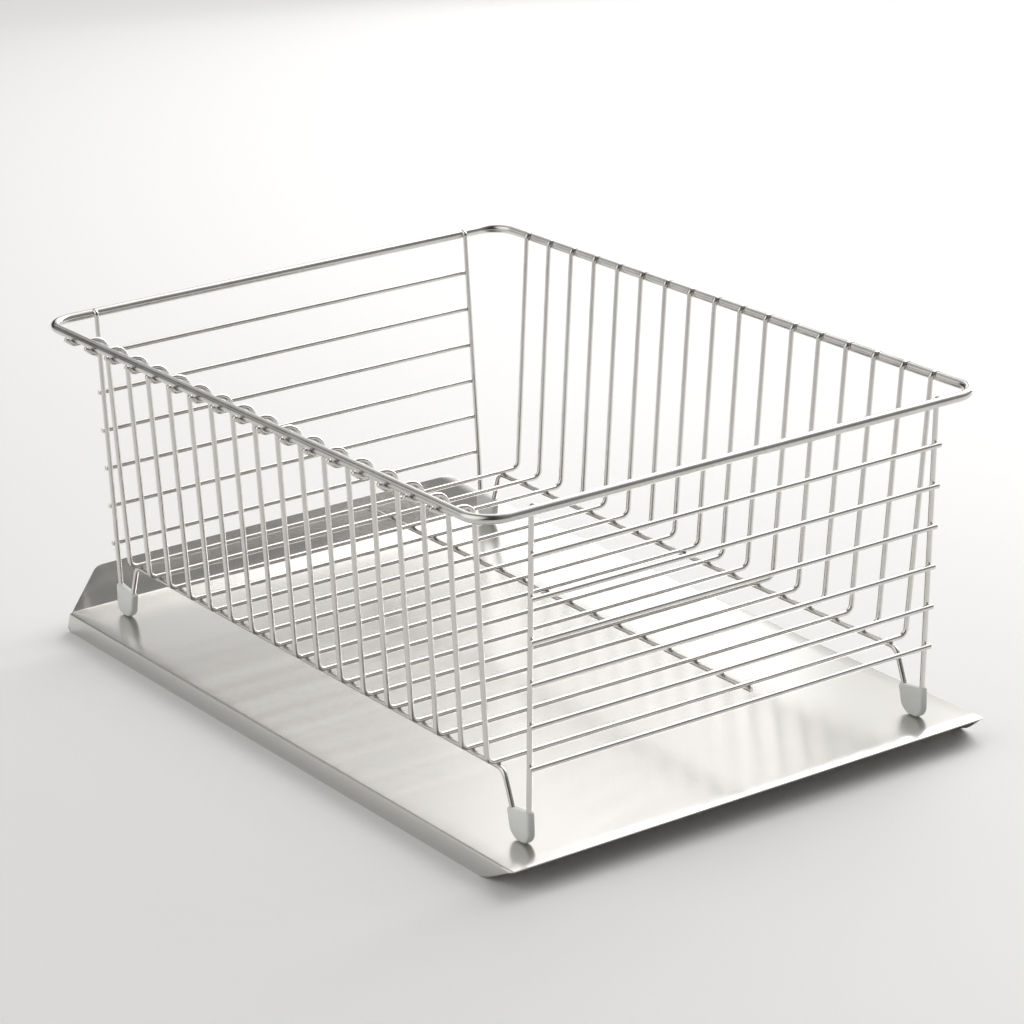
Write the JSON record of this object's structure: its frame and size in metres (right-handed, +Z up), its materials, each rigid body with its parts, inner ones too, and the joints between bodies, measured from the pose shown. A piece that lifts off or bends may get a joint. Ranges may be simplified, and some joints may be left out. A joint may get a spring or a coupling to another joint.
{
  "type": "dish drying rack",
  "caption": "Rectangular stainless wire dish drying rack with U-shaped ribs, cross wires at both ends and push-on feet, standing on a folded steel drip tray with an open lip.",
  "frame": {"origin": "middle of the whole object's footprint, at the level of the surface that the drip tray stands on", "axes": "+X along the rack towards the tray's open lip, +Y across it towards the wall whose wires wrap over the rim, +Z up"},
  "size_m": [0.5166, 0.3508, 0.2147],
  "materials": {
    "wire_steel": "electropolished stainless wire",
    "rim_steel": "polished stainless wire",
    "tray_steel": "fine brushed stainless sheet",
    "cap_silicone": "matte light grey silicone"
  },
  "bodies": {
    "tray": {"drip_tray": "tray_steel"},
    "basket": {"rim_wire": "rim_steel", "basket_rib_01": "wire_steel", "basket_rib_02": "wire_steel", "basket_rib_03": "wire_steel", "basket_rib_04": "wire_steel", "basket_rib_05": "wire_steel", "basket_rib_06": "wire_steel", "basket_rib_07": "wire_steel", "basket_rib_08": "wire_steel", "basket_rib_09": "wire_steel", "basket_rib_10": "wire_steel", "basket_rib_11": "wire_steel", "basket_rib_12": "wire_steel", "basket_rib_13": "wire_steel", "basket_rib_14": "wire_steel", "basket_rib_15": "wire_steel", "basket_rib_16": "wire_steel", "basket_rib_17": "wire_steel", "frame_wire_front": "wire_steel", "frame_wire_back": "wire_steel", "centre_support_wire": "wire_steel", "end_rail_left_1": "wire_steel", "end_rail_left_2": "wire_steel", "end_rail_left_3": "wire_steel", "end_rail_left_4": "wire_steel", "end_rail_left_5": "wire_steel", "end_rail_left_6": "wire_steel", "end_rail_right_1": "wire_steel", "end_rail_right_2": "wire_steel", "end_rail_right_3": "wire_steel", "end_rail_right_4": "wire_steel", "end_rail_right_5": "wire_steel", "end_rail_right_6": "wire_steel", "foot_cap_left_front": "cap_silicone", "foot_cap_left_back": "cap_silicone", "foot_cap_right_front": "cap_silicone", "foot_cap_right_back": "cap_silicone"}
  },
  "joints": [
    {"name": "basket_lift", "type": "slide", "parent": "tray", "child": "basket", "axis": [0, 0, 1], "range_m": [0, 0.25]}
  ]
}
